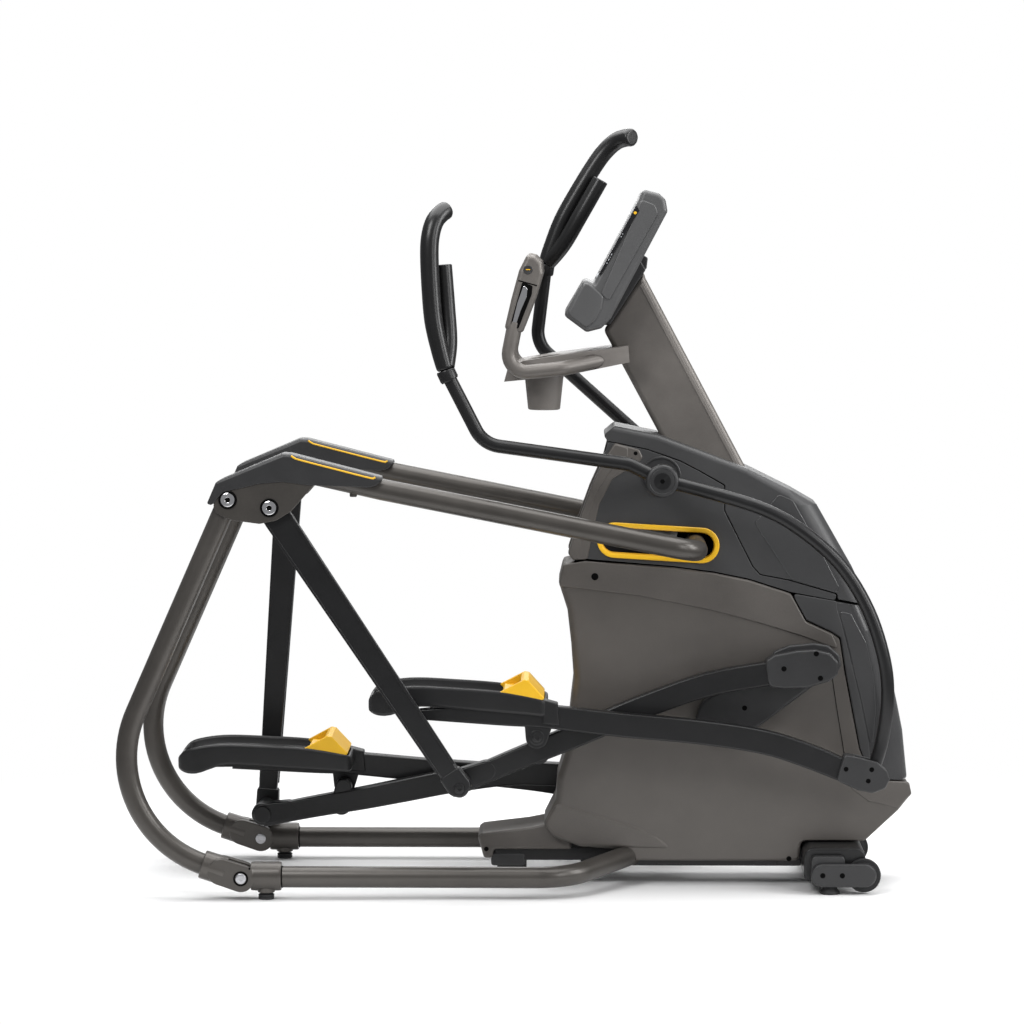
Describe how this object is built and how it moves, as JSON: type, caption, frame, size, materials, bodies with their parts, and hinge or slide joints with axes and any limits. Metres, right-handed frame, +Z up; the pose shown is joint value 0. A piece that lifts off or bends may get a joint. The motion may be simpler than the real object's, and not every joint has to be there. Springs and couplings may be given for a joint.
{
  "type": "elliptical trainer",
  "caption": "Front-drive elliptical trainer with hung pedal beams, a powered incline frame behind, swinging handle arms, a fixed handlebar with tray and cup, and a console on a mast.",
  "frame": {"origin": "on the floor, at the centre of the part's bounding box in X and Y", "axes": "+X points forward, from the rear uprights to the console; +Y is the rider's left; +Z is up"},
  "size_m": [1.869, 0.703, 1.8022],
  "materials": {
    "bronze_paint": "satin metallic bronze-grey paint",
    "bronze_plastic": "satin bronze-grey moulding",
    "black_steel": "satin black powder coat",
    "dark_plastic": "fine-grained dark grey moulding",
    "grey_plastic": "satin mid grey moulding",
    "pedal_plastic": "textured dark moulding with a ribbed deck",
    "yellow_plastic": "satin yellow moulding",
    "rubber": "matt black rubber",
    "steel": "zinc-plated and machined steel",
    "screen": "gloss black window"
  },
  "bodies": {
    "frame": {"drive_frame": "black_steel", "front_stabiliser": "black_steel", "drive_belt": "rubber", "incline_actuator": "dark_plastic", "top_cover": "dark_plastic", "front_cover": "grey_plastic", "spine_cover": "bronze_plastic", "mast": "bronze_paint", "console_housing": "grey_plastic", "console_screen": "screen", "accessory_tray": "bronze_plastic", "bottle_cup": "bronze_plastic", "fixed_handlebar": "bronze_paint", "right_base_tube": "bronze_paint", "right_rear_foot": "rubber", "right_front_foot": "rubber", "right_lower_cover": "bronze_plastic", "right_upper_cover": "dark_plastic", "right_slot_trim": "yellow_plastic", "left_base_tube": "bronze_paint", "left_rear_foot": "rubber", "left_front_foot": "rubber", "left_lower_cover": "bronze_plastic", "left_upper_cover": "dark_plastic", "left_slot_trim": "yellow_plastic", "left_handle_hub": "steel"},
    "right_wheel": {"right_wheel": "rubber"},
    "left_wheel": {"left_wheel": "rubber"},
    "incline_button": {"incline_button": "dark_plastic"},
    "resistance_button": {"resistance_button": "dark_plastic"},
    "flywheel": {"flywheel": "steel"},
    "crank": {"drive_pulley": "steel", "right_crank_arm": "black_steel", "left_crank_arm": "black_steel"},
    "rear_uprights": {"right_rear_upright": "bronze_paint", "left_rear_upright": "bronze_paint"},
    "upper_frame": {"right_upper_tube": "bronze_paint", "left_upper_tube": "bronze_paint", "right_apex_cap": "dark_plastic", "left_apex_cap": "dark_plastic", "upper_carriage": "steel"},
    "right_hanger_top_pin": {"right_hanger_top_pin": "steel"},
    "right_hanger": {"right_hanger": "black_steel"},
    "right_hanger_lower_pin": {"right_hanger_lower_pin": "steel"},
    "right_lower_beam": {"right_lower_beam": "black_steel"},
    "right_handle_hub": {"right_handle_hub": "steel"},
    "right_handle": {"right_handle_arm": "black_steel", "right_handle_grip": "rubber"},
    "right_front_pin": {"right_front_pin": "steel"},
    "right_pedal_arm": {"right_pedal_arm": "black_steel", "right_pedal": "pedal_plastic"},
    "left_hanger_top_pin": {"left_hanger_top_pin": "steel"},
    "left_hanger": {"left_hanger": "black_steel"},
    "left_hanger_lower_pin": {"left_hanger_lower_pin": "steel"},
    "left_lower_beam": {"left_lower_beam": "black_steel"},
    "left_handle": {"left_handle_arm": "black_steel", "left_handle_grip": "rubber", "left_front_pin": "steel"},
    "left_pedal_arm": {"left_pedal_arm": "black_steel", "left_pedal": "pedal_plastic"}
  },
  "joints": [
    {"name": "stride", "type": "hinge", "parent": "frame", "child": "crank", "pos_m": [0.4867, 0, 0.3781], "axis": [0, -1, 0], "range_deg": [-180, 0]},
    {"name": "incline", "type": "hinge", "parent": "frame", "child": "rear_uprights", "pos_m": [-0.6425, 0, 0.0523], "axis": [0, -1, 0], "range_deg": [0, 12]},
    {"name": "right_wheel_spin", "type": "hinge", "parent": "frame", "child": "right_wheel", "pos_m": [0.817, -0.217, 0.044], "axis": [0, -1, 0], "continuous": true},
    {"name": "left_wheel_spin", "type": "hinge", "parent": "frame", "child": "left_wheel", "pos_m": [0.817, 0.217, 0.044], "axis": [0, -1, 0], "continuous": true},
    {"name": "incline_press", "type": "slide", "parent": "frame", "child": "incline_button", "axis": [0, 1, 0], "range_m": [0, 0.002], "stiffness_N_per_m": 400},
    {"name": "resistance_press", "type": "slide", "parent": "frame", "child": "resistance_button", "axis": [0, -1, 0], "range_m": [0, 0.002], "stiffness_N_per_m": 400},
    {"name": "upper_frame_tilt", "type": "hinge", "parent": "rear_uprights", "child": "upper_frame", "pos_m": [-0.6684, 0, 0.9382], "axis": [0, -1, 0], "range_deg": [-10.27, 0]},
    {"name": "flywheel_turn", "type": "hinge", "parent": "frame", "child": "flywheel", "pos_m": [0.32, 0, 0.61], "axis": [0, -1, 0], "continuous": true},
    {"name": "right_top_pin_turn", "type": "hinge", "parent": "upper_frame", "child": "right_hanger_top_pin", "pos_m": [-0.572, -0.31, 0.9197], "axis": [0, -1, 0], "range_deg": [0, 13.23]},
    {"name": "right_hanger_swing", "type": "hinge", "parent": "right_hanger_top_pin", "child": "right_hanger", "pos_m": [-0.572, -0.31, 0.9197], "axis": [0, -1, 0], "range_deg": [-37.87, 0]},
    {"name": "right_lower_pin_turn", "type": "hinge", "parent": "right_hanger", "child": "right_hanger_lower_pin", "pos_m": [-0.13286, -0.31, 0.26288], "axis": [0, -1, 0], "range_deg": [-22.52, 0]},
    {"name": "right_beam_swing", "type": "hinge", "parent": "right_hanger_lower_pin", "child": "right_lower_beam", "pos_m": [-0.13286, -0.168, 0.26288], "axis": [0, -1, 0], "range_deg": [0, 25.77]},
    {"name": "right_hub_tilt", "type": "hinge", "parent": "frame", "child": "right_handle_hub", "pos_m": [0.3394, -0.15, 0.9777], "axis": [0, -1, 0], "range_deg": [-3.07, 0]},
    {"name": "right_handle_swing", "type": "hinge", "parent": "right_handle_hub", "child": "right_handle", "pos_m": [0.3394, -0.25, 0.9777], "axis": [0, -1, 0], "range_deg": [-34.04, 0]},
    {"name": "right_front_pin_turn", "type": "hinge", "parent": "right_handle", "child": "right_front_pin", "pos_m": [0.83127, -0.22, 0.27909], "axis": [0, -1, 0], "range_deg": [-5.43, 0]},
    {"name": "right_pedal_arm_swing", "type": "hinge", "parent": "right_front_pin", "child": "right_pedal_arm", "pos_m": [0.83127, -0.22, 0.27909], "axis": [0, -1, 0], "range_deg": [0, 35.19]},
    {"name": "left_top_pin_turn", "type": "hinge", "parent": "upper_frame", "child": "left_hanger_top_pin", "pos_m": [-0.572, 0.31, 0.9197], "axis": [0, -1, 0], "range_deg": [0, 11.7]},
    {"name": "left_hanger_swing", "type": "hinge", "parent": "left_hanger_top_pin", "child": "left_hanger", "pos_m": [-0.572, 0.31, 0.9197], "axis": [0, -1, 0], "range_deg": [0, 37.87]},
    {"name": "left_lower_pin_turn", "type": "hinge", "parent": "left_hanger", "child": "left_hanger_lower_pin", "pos_m": [-0.6283, 0.31, 0.13161], "axis": [0, -1, 0], "range_deg": [-12.59, 0]},
    {"name": "left_beam_swing", "type": "hinge", "parent": "left_hanger_lower_pin", "child": "left_lower_beam", "pos_m": [-0.6283, 0.168, 0.13161], "axis": [0, -1, 0], "range_deg": [-25.77, 0]},
    {"name": "left_handle_swing", "type": "hinge", "parent": "frame", "child": "left_handle", "pos_m": [0.3394, 0.25, 0.9777], "axis": [0, -1, 0], "range_deg": [0, 34.04]},
    {"name": "left_pedal_arm_swing", "type": "hinge", "parent": "left_handle", "child": "left_pedal_arm", "pos_m": [0.35621, 0.22, 0.12347], "axis": [0, -1, 0], "range_deg": [-35.19, 0]}
  ],
  "couplings": [
    {"joint": "upper_frame_tilt", "follows": "incline", "ratio": -0.8545},
    {"joint": "flywheel_turn", "follows": "stride", "ratio": 4},
    {"joint": "right_top_pin_turn", "follows": "incline", "ratio": 1.1007},
    {"joint": "right_hanger_swing", "follows": "stride", "ratio": 0.21029},
    {"joint": "right_lower_pin_turn", "follows": "incline", "ratio": -1.8752},
    {"joint": "right_beam_swing", "follows": "stride", "ratio": -0.14305},
    {"joint": "right_hub_tilt", "follows": "incline", "ratio": -0.2544},
    {"joint": "right_handle_swing", "follows": "stride", "ratio": 0.18901},
    {"joint": "right_front_pin_turn", "follows": "incline", "ratio": -0.45073},
    {"joint": "right_pedal_arm_swing", "follows": "stride", "ratio": -0.19536},
    {"joint": "left_top_pin_turn", "follows": "incline", "ratio": 0.97344},
    {"joint": "left_hanger_swing", "follows": "stride", "ratio": -0.21029},
    {"joint": "left_lower_pin_turn", "follows": "incline", "ratio": -1.0471},
    {"joint": "left_beam_swing", "follows": "stride", "ratio": 0.14305},
    {"joint": "left_handle_swing", "follows": "stride", "ratio": -0.18901},
    {"joint": "left_pedal_arm_swing", "follows": "stride", "ratio": 0.19536}
  ]
}
